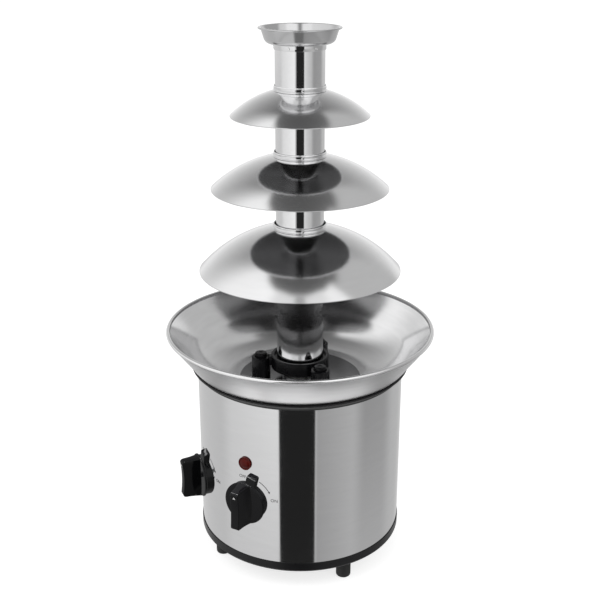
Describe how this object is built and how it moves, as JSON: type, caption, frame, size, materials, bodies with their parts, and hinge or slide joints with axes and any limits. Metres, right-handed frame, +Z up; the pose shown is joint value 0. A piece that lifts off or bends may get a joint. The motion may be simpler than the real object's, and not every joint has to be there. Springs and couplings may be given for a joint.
{
  "type": "chocolate fountain",
  "caption": "Table-top chocolate fountain: a heated steel bowl on a drum body with knobs and feet, and a lift-off tower of domes and a cup round a motor-driven screw.",
  "frame": {"origin": "on the vertical axis of the drum, at the floor under the feet", "axes": "+Z up along the tower; -Y to the front, midway between the two knobs; +X to the right as seen from the front"},
  "size_m": [0.27, 0.27, 0.5385],
  "materials": {
    "wrap_steel": "brushed round the body",
    "bowl_steel": "satin",
    "dome_steel": "polished",
    "tube_steel": "polished",
    "collar_steel": "polished",
    "plain_steel": "zinc plated",
    "element_steel": "heat darkened",
    "aluminium": "cast",
    "black_pan": "satin",
    "black_seat": "satin",
    "knob_black": "semi-gloss",
    "foot_rubber": "matte",
    "bushing_rubber": "matte",
    "white_plastic": "moulded",
    "auger_plastic": "moulded",
    "lens_red": "translucent"
  },
  "bodies": {
    "base": {"base_pan": "black_pan", "feet": "foot_rubber", "foot_screws": "plain_steel", "body_wrap": "wrap_steel", "top_ring": "black_pan", "bowl": "bowl_steel", "tower_posts": "black_seat", "post_nuts": "plain_steel", "shaft_bush": "plain_steel", "shaft_seal": "bushing_rubber", "bush_nut": "plain_steel", "heater_plate": "aluminium", "heater_element": "element_steel", "thermostat": "white_plastic", "thermal_fuse": "white_plastic", "motor_bracket": "plain_steel", "gear_case": "aluminium", "motor_can": "plain_steel", "gear_screws": "plain_steel", "tie_rods": "plain_steel", "rod_nuts": "plain_steel", "motor_switch": "white_plastic", "heat_switch": "white_plastic", "switch_screws": "plain_steel", "motor_bezel": "knob_black", "heat_bezel": "knob_black", "lamp_lens": "lens_red", "lamp_barrel": "white_plastic", "lamp_clip": "plain_steel", "terminal_block": "white_plastic", "block_screws": "plain_steel", "cord_bushing": "bushing_rubber"},
    "drive": {"motor_shaft": "plain_steel", "shaft_coupling": "plain_steel", "drive_shaft": "plain_steel", "drive_pin": "plain_steel"},
    "auger": {"auger_core": "auger_plastic", "auger_flight": "auger_plastic"},
    "tower": {"tower_seat": "black_seat", "tower_tube": "tube_steel"},
    "lower_tier": {"lower_dome": "dome_steel", "lower_collar": "collar_steel"},
    "middle_tier": {"middle_dome": "dome_steel", "middle_collar": "collar_steel"},
    "upper_tier": {"upper_dome": "dome_steel", "upper_collar": "collar_steel"},
    "top_cup": {"cup": "dome_steel", "cup_collar": "collar_steel"},
    "motor_dial": {"motor_knob": "knob_black", "motor_spindle": "plain_steel"},
    "heat_dial": {"heat_knob": "knob_black", "heat_spindle": "plain_steel"}
  },
  "joints": [
    {"name": "drive_spin", "type": "hinge", "parent": "base", "child": "drive", "pos_m": [0, 0, 0.15], "axis": [0, 0, 1], "continuous": true},
    {"name": "auger_lift", "type": "slide", "parent": "drive", "child": "auger", "axis": [0, 0, 1], "range_m": [0, 0.32]},
    {"name": "tower_lift", "type": "slide", "parent": "base", "child": "tower", "axis": [0, 0, 1], "range_m": [0, 0.34]},
    {"name": "lower_tier_lift", "type": "slide", "parent": "tower", "child": "lower_tier", "axis": [0, 0, 1], "range_m": [0, 0.2]},
    {"name": "middle_tier_lift", "type": "slide", "parent": "lower_tier", "child": "middle_tier", "axis": [0, 0, 1], "range_m": [0, 0.12]},
    {"name": "upper_tier_lift", "type": "slide", "parent": "middle_tier", "child": "upper_tier", "axis": [0, 0, 1], "range_m": [0, 0.06]},
    {"name": "cup_lift", "type": "slide", "parent": "upper_tier", "child": "top_cup", "axis": [0, 0, 1], "range_m": [0, 0.04]},
    {"name": "motor_knob_turn", "type": "hinge", "parent": "base", "child": "motor_dial", "pos_m": [-0.03402, -0.09881, 0.097], "axis": [0.3256, 0.9455, 0], "range_deg": [0, 90]},
    {"name": "heat_knob_turn", "type": "hinge", "parent": "base", "child": "heat_dial", "pos_m": [0.03402, -0.09881, 0.097], "axis": [-0.3256, 0.9455, 0], "range_deg": [0, 90]}
  ]
}
